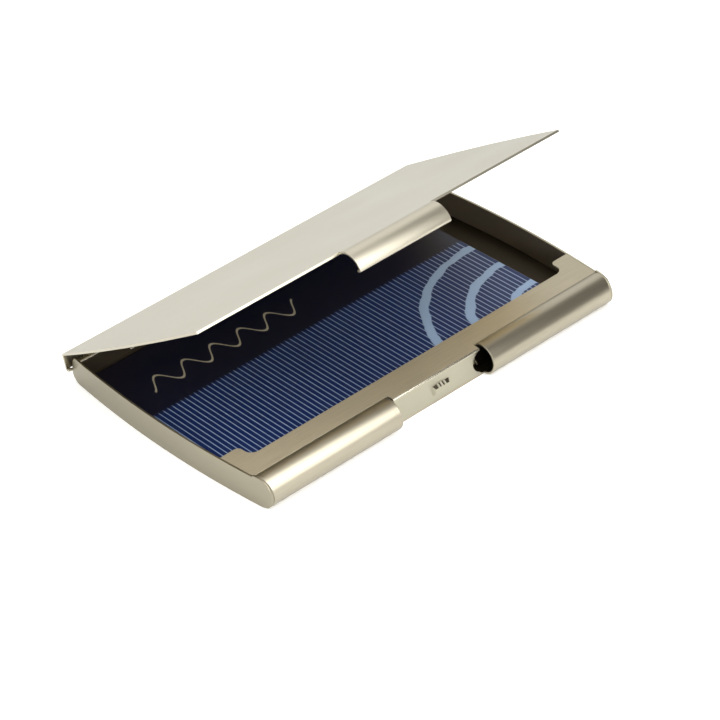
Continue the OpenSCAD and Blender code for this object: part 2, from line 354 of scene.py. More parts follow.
def break_edges(piece, width, segments=2):
    """Rounds the cut edges a little and evens out the shading of the flats."""
    apply_modifier(piece, "BEVEL", width=width, segments=segments, limit_method="ANGLE",
                   angle_limit=math.radians(40), harden_normals=False, use_clamp_overlap=True)
    select_only(piece)
    bpy.ops.object.shade_smooth_by_angle(angle=math.radians(45))
    apply_modifier(piece, "WEIGHTED_NORMAL", keep_sharp=True, weight=80)


def line_inside(piece, material, test):
    """Gives a second finish to the faces whose middle and normal pass the test."""
    piece.data.materials.append(material)
    bpy.context.view_layer.objects.active = piece
    piece.active_material_index = len(piece.data.materials) - 1
    bpy.ops.object.mode_set(mode="EDIT")
    bpy.context.tool_settings.mesh_select_mode = (False, False, True)
    bpy.ops.mesh.select_all(action="DESELECT")
    shape = bmesh.from_edit_mesh(piece.data)
    for face in shape.faces:
        face.select_set(test(face.calc_center_median() / MM, face.normal))
    bmesh.update_edit_mesh(piece.data)
    bpy.ops.object.material_slot_assign()
    bpy.ops.object.mode_set(mode="OBJECT")


def hand_over(piece, body, slot, material, *nodes):
    """Gives the finished piece its material and its body, and hides the CAD nodes it stands for. The
    slot is not used.
    """
    piece.data.materials.clear()
    piece.data.materials.append(material)
    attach(piece, body)
    if nodes:
        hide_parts(*nodes)


# ---------------------------------------------------------------- finishes


def darken(colour, part):
    """The colour with this part of its brightness left."""
    return [c * part for c in colour[:3]] + [1.0]


def new_material(name):
    """A material that holds only a shader, with its tree, its shader and its object coordinates."""
    made = bpy.data.materials.get(name)
    if made:
        bpy.data.materials.remove(made)
    made = bpy.data.materials.new(name)
    made.use_nodes = True
    tree = made.node_tree
    tree.nodes.clear()
    shader = add_node(tree, "ShaderNodeBsdfPrincipled")
    add_node(tree, "ShaderNodeOutputMaterial", {"Surface": shader.outputs["BSDF"]})
    place = add_node(tree, "ShaderNodeTexCoord").outputs["Object"]
    return made, tree, shader, place


def brushed_steel(name, colour, roughness, streak_length, streak_width, depth, contrast):
    """Stainless steel brushed along the hinge: fine straight streaks with a soft sheen across them.

    The real grain is about 0.05 mm wide, too fine to show, so streak_width draws it coarser.
    """
    made, tree, shader, place = new_material(name)
    stretch = add_node(tree, "ShaderNodeMapping", {
        "Vector": place,
        "Scale": (1 / (streak_length * MM), 1 / (streak_width * MM), 1 / (streak_width * MM))})
    streaks = add_node(tree, "ShaderNodeTexNoise", {
        "Vector": stretch.outputs["Vector"], "Scale": 1.0, "Detail": 3.0, "Roughness": 0.6})
    # Handling and polishing leave faint clouds about 20 mm across
    cloud_size, gloss_change = 20, 0.04
    clouds = add_node(tree, "ShaderNodeTexNoise", {
        "Vector": place, "Scale": 1 / (cloud_size * MM), "Detail": 1.0, "Roughness": 0.5})
    shade = add_node(tree, "ShaderNodeMapRange", {
        "Value": streaks.outputs["Fac"], "From Min": 0.3, "From Max": 0.7})
    tint = add_node(tree, "ShaderNodeMix", {
        "Factor": shade.outputs["Result"], "A": darken(colour, 1 - contrast), "B": colour},
        data_type="RGBA")
    tree.links.new(tint.outputs["Result"], shader.inputs["Base Color"])
    gloss = add_node(tree, "ShaderNodeMapRange", {
        "Value": clouds.outputs["Fac"], "From Min": 0.0, "From Max": 1.0,
        "To Min": roughness - gloss_change, "To Max": roughness + gloss_change})
    tree.links.new(gloss.outputs["Result"], shader.inputs["Roughness"])
    relief = add_node(tree, "ShaderNodeBump", {
        "Height": streaks.outputs["Fac"], "Strength": 1.0, "Distance": depth * MM})
    tree.links.new(relief.outputs["Normal"], shader.inputs["Normal"])
    # The sheen spreads across the streaks, which run along X
    facing = add_node(tree, "ShaderNodeNewGeometry")
    across = add_node(tree, "ShaderNodeVectorMath", {
        0: facing.outputs["Normal"], 1: (1.0, 0.0, 0.0)}, operation="CROSS_PRODUCT")
    tree.links.new(across.outputs["Vector"], shader.inputs["Tangent"])
    shader.inputs["Anisotropic"].default_value = 0.8
    shader.inputs["Metallic"].default_value = 1.0
    shader.inputs["Specular Tint"].default_value = GRAZING_TINT
    return made


def satin_steel(name, colour, roughness, grain, depth):
    """Stainless steel with a fine blasted satin: no direction, an even soft sheen."""
    cloud_size, gloss_change = 9, 0.05
    made, tree, shader, place = new_material(name)
    grains = add_node(tree, "ShaderNodeTexNoise", {
        "Vector": place, "Scale": 1 / (grain * MM), "Detail": 2.0, "Roughness": 0.6})
    clouds = add_node(tree, "ShaderNodeTexNoise", {
        "Vector": place, "Scale": 1 / (cloud_size * MM), "Detail": 2.0, "Roughness": 0.5})
    tint = add_node(tree, "ShaderNodeMix", {
        "Factor": clouds.outputs["Fac"], "A": darken(colour, 0.93), "B": colour}, data_type="RGBA")
    tree.links.new(tint.outputs["Result"], shader.inputs["Base Color"])
    gloss = add_node(tree, "ShaderNodeMapRange", {
        "Value": grains.outputs["Fac"], "From Min": 0.3, "From Max": 0.7,
        "To Min": roughness - gloss_change, "To Max": roughness + gloss_change})
    tree.links.new(gloss.outputs["Result"], shader.inputs["Roughness"])
    relief = add_node(tree, "ShaderNodeBump", {
        "Height": grains.outputs["Fac"], "Strength": 1.0, "Distance": depth * MM})
    tree.links.new(relief.outputs["Normal"], shader.inputs["Normal"])
    shader.inputs["Metallic"].default_value = 1.0
    shader.inputs["Specular Tint"].default_value = GRAZING_TINT
    return made


def sheared_steel(name, colour, top_highlight_colour, roughness):
    """Dark mill-finish steel, with long faint rolling lines, whose upward-facing top edges are
    painted bright as a highlight.
    """
    line_length, line_width, edge_round = 20, 0.4, 0.3
    gloss_change, edge_roughness = 0.06, 0.7
    made, tree, shader, place = new_material(name)
    drawn = add_node(tree, "ShaderNodeMapping", {
        "Vector": place,
        "Scale": (1 / (line_length * MM), 1 / (line_width * MM), 1 / (line_width * MM))})
    lines = add_node(tree, "ShaderNodeTexNoise", {
        "Vector": drawn.outputs["Vector"], "Scale": 1.0, "Detail": 3.0, "Roughness": 0.6})
    wall = add_node(tree, "ShaderNodeMix", {
        "Factor": lines.outputs["Fac"], "A": darken(colour, 0.5), "B": colour}, data_type="RGBA")
    # The shear leaves the edges a little round
    rounded = add_node(tree, "ShaderNodeBevel", {"Radius": edge_round * MM}, samples=8)
    tree.links.new(rounded.outputs["Normal"], shader.inputs["Normal"])
    # Painted highlight: faces that look upward take the bright colour and a higher roughness
    facing = add_node(tree, "ShaderNodeSeparateXYZ", {"Vector": rounded.outputs["Normal"]})
    upward = add_node(tree, "ShaderNodeMapRange", {
        "Value": facing.outputs["Z"], "From Min": 0.2, "From Max": 0.5})
    tint = add_node(tree, "ShaderNodeMix", {
        "Factor": upward.outputs["Result"], "A": wall.outputs["Result"], "B": top_highlight_colour},
        data_type="RGBA")
    tree.links.new(tint.outputs["Result"], shader.inputs["Base Color"])
    gloss = add_node(tree, "ShaderNodeMapRange", {
        "Value": lines.outputs["Fac"], "From Min": 0.3, "From Max": 0.7,
        "To Min": roughness - gloss_change, "To Max": roughness + gloss_change})
    top_roughness = add_node(tree, "ShaderNodeMath", {
        0: upward.outputs["Result"], 1: edge_roughness}, operation="MULTIPLY")
    matte = add_node(tree, "ShaderNodeMath", {
        0: top_roughness.outputs[0], 1: gloss.outputs["Result"]}, operation="MAXIMUM")
    tree.links.new(matte.outputs[0], shader.inputs["Roughness"])
    shader.inputs["Metallic"].default_value = 1.0
    shader.inputs["Specular Tint"].default_value = GRAZING_TINT
    return made


def plain_card_stock(name, colour):
    """Uncoated card seen on its cut edges: matte, with thin layers one above the other."""
    made, tree, shader, place = new_material(name)
    # The layers of fibre are finer than this in the real card, and are drawn 0.08 mm thick
    fibre_length, layer = 2.5, 0.08
    layers = add_node(tree, "ShaderNodeMapping", {
        "Vector": place,
        "Scale": (1 / (fibre_length * MM), 1 / (fibre_length * MM), 1 / (layer * MM))})
    fibres = add_node(tree, "ShaderNodeTexNoise", {
        "Vector": layers.outputs["Vector"], "Scale": 1.0, "Detail": 3.0, "Roughness": 0.6})
    tint = add_node(tree, "ShaderNodeMix", {
        "Factor": fibres.outputs["Fac"], "A": darken(colour, 0.7), "B": colour}, data_type="RGBA")
    tree.links.new(tint.outputs["Result"], shader.inputs["Base Color"])
    relief = add_node(tree, "ShaderNodeBump", {
        "Height": fibres.outputs["Fac"], "Strength": 0.5, "Distance": 0.01 * MM})
    tree.links.new(relief.outputs["Normal"], shader.inputs["Normal"])
    shader.inputs["Roughness"].default_value = 0.75
    return made


def printed_card_stock(name, colours):
    """Coated card, printed: a dark band at the rear, stripes and ripples in front, and a wave line.

    The eye sees flat ink with crisp edges under a smooth gloss varnish. Lengths are millimetres.
    """
    stripe_pitch, stripe_half = 1.15, 0.09
    band_y, band_soft = 7.3, 0.5
    corner, ripple_pitch, ripple_half, ripple_reach = (39.0, -25.0, 1.8), 9.5, 1.0, 33.0
    wobble_size, wobble = 5.0, 2.0
    wave_y, wave_middle, wave_reach = 16.0, -18.5, 20.0
    wave_pitch, wave_height, wave_half = 7.4, 2.4, 0.34
    made, tree, shader, place = new_material(name)
    in_mm = add_node(tree, "ShaderNodeVectorMath", {0: place, "Scale": 1 / MM}, operation="SCALE")
    axes = add_node(tree, "ShaderNodeSeparateXYZ", {"Vector": in_mm.outputs["Vector"]})
    x, y = axes.outputs["X"], axes.outputs["Y"]

    def maths(operation, a, b=0.0, c=0.0):
        return add_node(tree, "ShaderNodeMath", {0: a, 1: b, 2: c}, operation=operation).outputs[0]

    def inside(distance, half, soft=0.05):
        edge = add_node(tree, "ShaderNodeMapRange", {
            "Value": distance, "From Min": half - soft, "From Max": half + soft,
            "To Min": 1.0, "To Max": 0.0})
        return edge.outputs["Result"]

    # Stripes on the part in front of the band
    stripe_place = maths("PINGPONG", x, stripe_pitch / 2)
    front_part = inside(y, band_y, band_soft)
    stripes = maths("MULTIPLY", inside(stripe_place, stripe_half), front_part)
    # Ripples with a slightly uneven line, spreading from the card's front corner
    uneven = add_node(tree, "ShaderNodeTexNoise", {
        "Vector": in_mm.outputs["Vector"], "Scale": 1 / wobble_size, "Detail": 2.0})
    from_corner = add_node(tree, "ShaderNodeVectorMath", {
        0: in_mm.outputs["Vector"], 1: corner}, operation="DISTANCE")
    radius = maths("ADD", from_corner.outputs["Value"],
                   maths("MULTIPLY", maths("SUBTRACT", uneven.outputs["Fac"], 0.5), wobble))
    ripple_place = maths("PINGPONG", radius, ripple_pitch / 2)
    ripples = maths("MULTIPLY", inside(ripple_place, ripple_half, 0.1), inside(radius, ripple_reach))
    # A thin wave line along the band
    wave = maths("MULTIPLY", maths("SINE", maths("MULTIPLY", x, math.tau / wave_pitch)), wave_height)
    wave_place = maths("ABSOLUTE", maths("SUBTRACT", maths("SUBTRACT", y, wave_y), wave))
    wave_span = inside(maths("ABSOLUTE", maths("SUBTRACT", x, wave_middle)), wave_reach, 0.2)
    wave_line = maths("MULTIPLY", inside(wave_place, wave_half, 0.1), wave_span)

    ground = add_node(tree, "ShaderNodeMix", {
        "Factor": front_part, "A": colours.card_dark, "B": colours.card_blue}, data_type="RGBA")
    striped = add_node(tree, "ShaderNodeMix", {
        "Factor": stripes, "A": ground.outputs["Result"], "B": colours.card_line}, data_type="RGBA")
    rippled = add_node(tree, "ShaderNodeMix", {
        "Factor": ripples, "A": striped.outputs["Result"], "B": colours.card_ripples},
        data_type="RGBA")
    waved = add_node(tree, "ShaderNodeMix", {
        "Factor": wave_line, "A": rippled.outputs["Result"], "B": colours.card_wave},
        data_type="RGBA")
    tree.links.new(waved.outputs["Result"], shader.inputs["Base Color"])
    # Varnish follows the paper: swells about 3 mm across
    swell = 3
    paper = add_node(tree, "ShaderNodeTexNoise", {
        "Vector": place, "Scale": 1 / (swell * MM), "Detail": 3.0})
    relief = add_node(tree, "ShaderNodeBump", {
        "Height": paper.outputs["Fac"], "Strength": 0.3, "Distance": 0.02 * MM})
    tree.links.new(relief.outputs["Normal"], shader.inputs["Normal"])
    shader.inputs["Roughness"].default_value = 0.3
    shader.inputs["Specular IOR Level"].default_value = 0.25
    return made


# ---------------------------------------------------------------- pieces


class CASE_OT_base_shell(bpy.types.Operator):
    """Floor sheet with its two front rolls, the finger notch between them and its curled rear edge"""
    bl_idname = "case.base_shell"
    bl_label = "Base shell"

    def execute(self, context):
        sizes, colours = context.scene.case_sizes, context.scene.case_colours
        shell = start_sheet("base_shell_sheet", -BLANK_HALF, BLANK_HALF, ROLL_Y, CURL_Y, 0)
        score_across(-NOTCH_HALF, NOTCH_HALF)
        pick("edges", lambda p: p.y < ROLL_Y + NEAR and abs(p.x) > NOTCH_HALF - NEAR)
        bend(ROLL_Y, ROLL_Z, -(270 - ROLL_TAIL), 96)
        pick("edges", lambda p: p.z < NEAR and abs(p.y - ROLL_Y) < NEAR
             and abs(p.x) < NOTCH_HALF + NEAR)
        pull(WALL_Y - ROLL_Y, 0)
        pick("edges", lambda p: p.y > CURL_Y - NEAR)
        bend(CURL_Y, CURL_RADIUS, 90, 14)
        trim_to_bow(HALF_LENGTH - sizes.sheet / MM)
        face_out((0, 0, 0), (0, 0, -1))
        thicken(shell, sizes.sheet)
        break_edges(shell, 2 * sizes.edge_break, 3)
        steel = brushed_steel("brushed steel of the rolls", colours.rolls, roughness=0.29,
                              streak_length=14, streak_width=0.22, depth=0.0025, contrast=0.08)
        hand_over(shell, "case", "case_steel", steel, "base_shell")
        # The floor inside the case is painted dark as shade; its finish is also rougher
        dull_and_shaded = satin_steel(PAINTED_SHADE_INSIDE, colours.inside, roughness=0.5, grain=0.3, depth=0.001)
        line_inside(shell, dull_and_shaded, lambda p, n: n.z > 0.7 and p.z < 1 and p.y > GROOVE_Y)
        return {"FINISHED"}


class CASE_OT_end_plates(bpy.types.Operator):
    """Bowed end plates that close the short sides"""
    bl_idname = "case.end_plates"
    bl_label = "End plates"

    def execute(self, context):
        sizes, colours = context.scene.case_sizes, context.scene.case_colours
        bow_half_angle, bow_steps, middle_half = 6.6, 13, 1.4
        foot_y, foot_z, foot_radius = 29.9, 2.3, 2.3
        head_y, head_z, head_radius = 29.75, 5.2, 1.4
        lean_y, lean = 30.7, (0, 2.7, 1.1)
        steel = satin_steel("satin steel of the end plates", colours.plate,
                            roughness=0.36, grain=0.25, depth=0.0012)
        # The plates' inner side is painted darker as shade, and has a rougher finish
        dull_and_shaded = satin_steel("dull steel of the plates' inner side", colours.plate_inner_shade,
                           roughness=0.6, grain=0.3, depth=0.001)
        for side, name in ((-1, "left_end_plate"), (1, "right_end_plate")):
            outer_x = side * (HALF_LENGTH + SIDE_BOW)
            plate = start_panel(name + "_sheet", (outer_x, 0, ROLL_RADIUS),
                                (2 * ROLL_RADIUS, 2 * middle_half), (0, math.pi / 2, 0))
            centre = (side * (HALF_LENGTH + SIDE_BOW - BOW_RADIUS) * MM, 0, 0)
            for end in (-1, 1):
                pick("edges", lambda p: p.y * end > middle_half - NEAR)
                bpy.ops.mesh.spin(steps=bow_steps, angle=-side * end * math.radians(bow_half_angle),
                                  center=centre, axis=(0, 0, 1))
            # Round at the front, then at the rear's foot, its leaning edge and its upper corner
            trim_round(ROLL_Y, ROLL_Z, ROLL_RADIUS, [270 - 180 * i / 24 for i in range(25)])
            trim_round(foot_y, foot_z, foot_radius, [-90 + 110 * i / 11 for i in range(12)])
            trim((0, lean_y, RIM), lean)
            trim_round(head_y, head_z, head_radius, [22 + 68 * i / 7 for i in range(7)])
            # The straight part ends at the rim, the round front stands a little higher
            for point, normal in (((0, GROOVE_Y, 0), (0, 1, 0)), ((0, 0, RIM), (0, 0, 1))):
                bpy.ops.mesh.select_all(action="SELECT")
                score(point, normal)
            pick("faces", lambda p: p.y > GROOVE_Y - NEAR and p.z > RIM - NEAR)
            bpy.ops.mesh.delete(type="FACE")
            face_out((outer_x, 0, 3), (side, 0, 0))
            thicken(plate, sizes.sheet)
            break_edges(plate, sizes.edge_break * 1.3)
            hand_over(plate, "case", "plate_steel", steel, name)
            # Inner sides get the darker steel of the painted shade
            line_inside(plate, dull_and_shaded, lambda p, n: n.x * side < -0.7)
        return {"FINISHED"}


class CASE_OT_front_ledge(bpy.types.Operator):
    """Ledge with its corner tabs and round reliefs, the notch wall and the toothed catch"""
    bl_idname = "case.front_ledge"
    bl_label = "Front ledge and catch"

    def execute(self, context):
        sizes, colours = context.scene.case_sizes, context.scene.case_colours
        inner_y, tab_y, tab_x, tab_round, relief = -22.8, -18.9, 42.2, 1.1, 2.0
        front_y, bend_radius, wall_foot = GROOVE_Y + 0.05, 0.5, 0.5
        cut_radius, cut_angle, cut_steps = 2.8, 66, 16
        ledge = start_sheet("front_ledge_sheet", -BLANK_HALF, BLANK_HALF, front_y, tab_y, RIM)
        score_across(-tab_x, -WALL_HALF, WALL_HALF, tab_x)
        bpy.ops.mesh.select_all(action="SELECT")
        score((0, inner_y, 0), (0, 1, 0))
        pick("faces", lambda p: abs(p.x) < tab_x + NEAR and p.y > inner_y - NEAR)
        bpy.ops.mesh.delete(type="FACE")
        trim_to_bow(HALF_LENGTH - sizes.sheet / MM)
        pick("faces", lambda p: p.z > RIM - NEAR)
        bpy.ops.mesh.dissolve_faces()
        pick("edges", lambda p: p.y < front_y + NEAR and abs(p.x) < WALL_HALF + NEAR)
        pull(WALL_Y + bend_radius - front_y, 0)
        bend(WALL_Y + bend_radius, RIM - bend_radius, 90, 10)
        # The wall is cut round at its +X end, in front of that roll's open end
        angles = [math.radians(cut_angle * (1 - 2 * i / cut_steps)) for i in range(cut_steps + 1)]
        levels = [(ROLL_Z + cut_radius * math.sin(a), NOTCH_HALF - cut_radius * math.cos(a))
                  for a in angles]
        z0, end0 = RIM - bend_radius, WALL_HALF
        for z1, end1 in levels + [(wall_foot, WALL_HALF)]:
            pull(0, z1 - z0)
            bpy.ops.transform.resize(value=((end1 + WALL_HALF) / (end0 + WALL_HALF), 1, 1),
                                     center_override=(-WALL_HALF * MM, 0, 0))
            z0, end0 = z1, end1
        face_out((0, -25, RIM), (0, 0, 1))
        thicken(ledge, sizes.ledge_sheet)
        bpy.ops.object.mode_set(mode="EDIT")
        # Round relief in the corner between tab and ledge, then the tab's own rounded corner
        for corner_y, radius, segments in ((inner_y, relief, 12), (tab_y, tab_round, 8)):
            pick("edges", lambda p: abs(abs(p.x) - tab_x) < NEAR and abs(p.y - corner_y) < NEAR)
            bpy.ops.mesh.bevel(offset=radius * MM, segments=segments, affect="EDGES")
        bpy.ops.object.mode_set(mode="OBJECT")
        break_edges(ledge, sizes.edge_break)
        steel = brushed_steel("brushed steel of the ledge", colours.ledge, roughness=0.45,
                              streak_length=9, streak_width=0.2, depth=0.004, contrast=0.16)
        hand_over(ledge, "case", "ledge_steel", steel, "front_ledge")
        wall = satin_steel("satin steel of the notch wall", colours.wall,
                           roughness=0.4, grain=0.25, depth=0.001)
        line_inside(ledge, wall, lambda p, n: n.y < -0.9 and p.y < WALL_Y + NEAR)
        fold = brushed_steel("burnished steel of the fold", colours.steel, roughness=0.2,
                             streak_length=14, streak_width=0.3, depth=0.0003, contrast=0.03)
        line_inside(ledge, fold, lambda p, n: n.y < -0.3 and n.z > 0.2 and p.y < WALL_Y + 1)
        self.add_catch(wall)
        return {"FINISHED"}

    def add_catch(self, steel):
        """The catch on the notch wall: a sloped nose with three teeth on its upper side."""
        half_l, sunk, nose, top, base = 2.3, 0.1, 0.75, 0.55, 1.2
        narrowing, tooth, tooth_height = 0.8, 0.42, 0.25
        depth = nose + sunk
        bpy.ops.object.select_all(action="DESELECT")
        bpy.ops.mesh.primitive_cube_add(
            size=1, location=metres((CATCH_X, WALL_Y + sunk - depth / 2, CATCH_Z)))
        catch = bpy.context.object
        catch.name = catch.data.name = "latch_catch"
        catch.scale = metres((2 * half_l, depth, 2 * base))
        settle(catch)
        bpy.ops.object.mode_set(mode="EDIT")
        front = WALL_Y - nose
        pick("faces", lambda p: p.y < front + NEAR)
        bpy.ops.transform.resize(value=(narrowing, 1, top / base),
                                 center_override=metres((CATCH_X, front, CATCH_Z)))
        for i in range(-3, 5):
            bpy.ops.mesh.select_all(action="SELECT")
            score((CATCH_X + (i - 0.5) * tooth, 0, 0), (1, 0, 0))
        # Every second strip of the upper slope stands up as a tooth
        slope = Vector((0, -(base - top), nose)).normalized()
        for i in (-2, 0, 2):
            pick("faces", lambda p: abs(p.x - CATCH_X - i * tooth) < tooth / 2 + NEAR
                 and p.z > CATCH_Z + top - NEAR)
            pull(tooth_height * slope.y, tooth_height * slope.z)
        bpy.ops.object.mode_set(mode="OBJECT")
        break_edges(catch, 0.1 * MM, 3)
        hand_over(catch, "case", "ledge_steel", steel)
        # The gaps between the teeth get the dark inside steel as painted shade
        line_inside(catch, bpy.data.materials[PAINTED_SHADE_INSIDE],
                    lambda p, n: n.z > 0.6 and (
                        p.z - CATCH_Z - top < (p.y - front) * (base - top) / nose + 0.1))


class CASE_OT_springs(bpy.types.Operator):
    """Torsion springs on the hinge pin, one at each end"""
    bl_idname = "case.springs"
    bl_label = "Torsion springs"

    def execute(self, context):
        colours = context.scene.case_colours
        wire_r, coil_r, pitch, turns, turn_steps = 0.15, 0.84, 0.36, 5.75, 138
        bracket_arm, lid_arm = 3.5, -2.1
        coil = turns * pitch
        start_x = -SPRING_X - coil / 2
        bpy.ops.object.select_all(action="DESELECT")
        bpy.ops.mesh.primitive_circle_add(vertices=12, radius=wire_r * MM, enter_editmode=True,
                                          location=metres((start_x, PIN_Y, PIN_Z)))
        left = bpy.context.object
        left.name = left.data.name = "left_spring_wire"
        bpy.ops.transform.translate(value=(0, -coil_r * MM, 0))
        bpy.ops.object.mode_set(mode="OBJECT")
        apply_modifier(left, "SCREW", axis="X", angle=turns * math.tau, screw_offset=coil * MM,
                       steps=turn_steps, render_steps=turn_steps, use_smooth_shade=True)
        settle(left)
        bpy.ops.object.mode_set(mode="EDIT")
        arms = (((start_x, PIN_Y - coil_r, PIN_Z), (0, bracket_arm)),
                ((start_x + coil, PIN_Y, PIN_Z + coil_r), (lid_arm, 0)))
        for place, arm in arms:
            middle = Vector(place)
            pick("edges", lambda p: (p - middle).length < wire_r + NEAR and (
                abs(p.z - PIN_Z) < 0.001 if arm[1] else abs(p.y - PIN_Y) < 0.001))
            pull(*arm)
            bpy.ops.mesh.edge_face_add()
        face_out((start_x, PIN_Y - coil_r - wire_r, PIN_Z + 1.5), (0, -1, 0))
        bpy.ops.object.mode_set(mode="OBJECT")
        bpy.ops.object.select_all(action="DESELECT")
        left.select_set(True)
        bpy.ops.object.shade_smooth_by_angle(angle=math.radians(50))
        bpy.ops.object.duplicate(linked=False)
        right = bpy.context.object
        right.name = right.data.name = "right_spring_wire"
        right.location.x = 2 * SPRING_X * MM
        settle(right)
        steel = satin_steel("drawn steel of the spring wire", colours.plate,
                            roughness=0.3, grain=0.3, depth=0.001)
        # Each wire gets the drawn steel and is baked in place, and the CAD spring it stands for is
        # hidden
        for wire, node, low in ((left, "left_spring", start_x),
                                (right, "right_spring", start_x + 2 * SPRING_X)):
            wire.data.materials.append(steel)
            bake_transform(wire)
            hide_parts(node)
        return {"FINISHED"}


class CASE_OT_lid(bpy.types.Operator):
    """Lid panel with its leaning rear flange and hem, and the curved latch lip at its front"""
    bl_idname = "case.lid"
    bl_label = "Lid"

    def execute(self, context):
        sizes, colours = context.scene.case_sizes, context.scene.case_colours
        rear_radius, hem_radius, lean = 1.0, 0.6, 60.0
        flange, hem, hem_ends = 4.8, 1.1, 2.0
        slot_0, slot_1 = 45.1, 46.35
        lip_sweep, lip_turn, lip_hem = 103, 0.6, 0.6
        blank_half = 50
        down = Vector((0, math.cos(math.radians(lean)), -math.sin(math.radians(lean))))
        rear_set = rear_radius * math.tan(math.radians(lean / 2))
        hem_set = hem_radius * math.tan(math.radians((180 - lean) / 2))
        panel_end = LID_REAR - rear_set
        lid = start_sheet("lid_sheet", -blank_half, blank_half, LID_FRONT, panel_end, LID_TOP)
        pick("edges", lambda p: p.y > panel_end - NEAR)
        bend(panel_end, LID_TOP - rear_radius, -lean, 10)
        straight = flange - rear_set - hem_set
        pull(straight * down.y, straight * down.z)
        foot = Vector((0, LID_REAR, LID_TOP)) + flange * down
        hem_y, hem_z = foot.y - hem_set, foot.z + hem_radius
        bend(hem_y, hem_z, -(180 - lean), 12)
        pull(foot.y - hem - hem_y, 0)
        # Slots in the hem that clear the end plates
        for x in (-slot_1, -slot_0, slot_0, slot_1):
            pick("faces", lambda p: p.y > LID_REAR + 0.1)
            score((x, 0, 0), (1, 0, 0))
        pick("faces", lambda p: slot_0 - NEAR < abs(p.x) < slot_1 + NEAR and p.z < hem_z + NEAR)
        bpy.ops.mesh.delete(type="FACE")
        pick("edges", lambda p: abs(p.x) > slot_1 - NEAR and p.z < foot.z + NEAR
             and abs(p.y - foot.y + hem) < NEAR)
        pull(hem - hem_ends, 0)
        trim_to_bow(LID_HALF, LID_SHIFT)
        # Latch lip: a short flat, a round that closes over the rolls and a small inward hem
        for x in (-LIP_HALF, LIP_HALF):
            pick("faces", lambda p: p.z > LID_TOP - NEAR)
            score((x, 0, 0), (1, 0, 0))
        pick("edges", lambda p: p.y < LID_FRONT + NEAR and abs(p.x) < LIP_HALF + NEAR)
        pull(LIP_Y - LID_FRONT, 0)
        sweep = lip_sweep - math.degrees(lip_turn / LIP_RADIUS)
        bend(LIP_Y, LIP_Z, sweep, 40)
        end_angle = math.radians(90 + sweep)
        inward = Vector((0, -math.cos(end_angle), -math.sin(end_angle)))
        turn_at = Vector((0, LIP_Y, LIP_Z)) - (LIP_RADIUS - lip_turn) * inward
        bend(turn_at.y, turn_at.z, 90, 8)
        pull(lip_hem * inward.y, lip_hem * inward.z)
        face_out((0, 0, LID_TOP), (0, 0, 1))
        thicken(lid, sizes.sheet)
        break_edges(lid, sizes.edge_break)
        # The lid is shaped closed and then opened about the pin
        pivot = Vector(metres((0, PIN_Y, PIN_Z)))
        lid.matrix_world = (Matrix.Translation(pivot) @ Matrix.Rotation(-sizes.open_angle, 4, "X")
                            @ Matrix.Translation(-pivot))
        settle(lid)
        steel = brushed_steel("brushed steel of the lid", colours.steel, roughness=0.3,
                              streak_length=16, streak_width=0.24, depth=0.002, contrast=0.05)
        hand_over(lid, "lid", "lid_steel", steel, "lid")
        # The lid's underside is painted lighter and warmer as light it catches; it is also rougher
        coarse = brushed_steel("coarse steel under the lid", colours.under_lid_lit, roughness=0.6,
                               streak_length=12, streak_width=0.3, depth=0.004, contrast=0.1)
        line_inside(lid, coarse, lambda p, n: n.z < -0.8 and n.y < -0.3)
        return {"FINISHED"}


class CASE_OT_hinge_metal(bpy.types.Operator):
    """Finishes of the bracket, the pin and the lid's hinge leaf"""
    bl_idname = "case.hinge_metal"
    bl_label = "Hinge metal"

    def execute(self, context):
        colours = context.scene.case_colours
        finishes = {
            "rear_bracket": sheared_steel("dark steel of the bracket", colours.bracket,
                                          colours.bracket_top_highlight, roughness=0.5),
            "lid_hinge_leaf": brushed_steel("brushed steel of the leaf", colours.steel, roughness=0.3,
                                            streak_length=8, streak_width=0.2, depth=0.003,
                                            contrast=0.12),
            "hinge_pin": satin_steel("drawn steel of the pin", colours.plate,
                                     roughness=0.25, grain=0.3, depth=0.001),
        }
        for name, finish in finishes.items():
            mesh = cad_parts[name].data
            mesh.materials.clear()
            mesh.materials.append(finish)
        return {"FINISHED"}


class CASE_OT_cards(bpy.types.Operator):
    """Pile of business cards, the top one printed"""
    bl_idname = "case.cards"
    bl_label = "Business cards"

    def execute(self, context):
        sizes, colours = context.scene.case_sizes, context.scene.case_colours
        printed = printed_card_stock("varnished printed card", colours)
        # The plain cards' edges carry the tan painted shade
        plain = plain_card_stock("uncoated card stock", colours.paper)
        # Each card lies a little out of line with the one above: (name, slip along X, slip along Y)
        pile = (("top_card", 0, 0), ("second_card", -0.15, -0.1), ("third_card", 0.12, -0.2),
                ("bottom_card", -0.06, -0.05))
        for name, slip_x, slip_y in pile:
            low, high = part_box(name)
            card = start_sheet(name + "_stock", low.x / MM + slip_x, high.x / MM + slip_x,
                               low.y / MM + slip_y, high.y / MM + slip_y, high.z / MM)
            score_across(-20, 0, 20)
            face_out((0, 0, high.z / MM), (0, 0, 1))
            thicken(card, sizes.card)
            break_edges(card, 0.04 * MM)
            if name == "top_card":
                hand_over(card, "case", "printed_card", printed, name)
            else:
                hand_over(card, "case", "plain_card", plain, name)
        return {"FINISHED"}


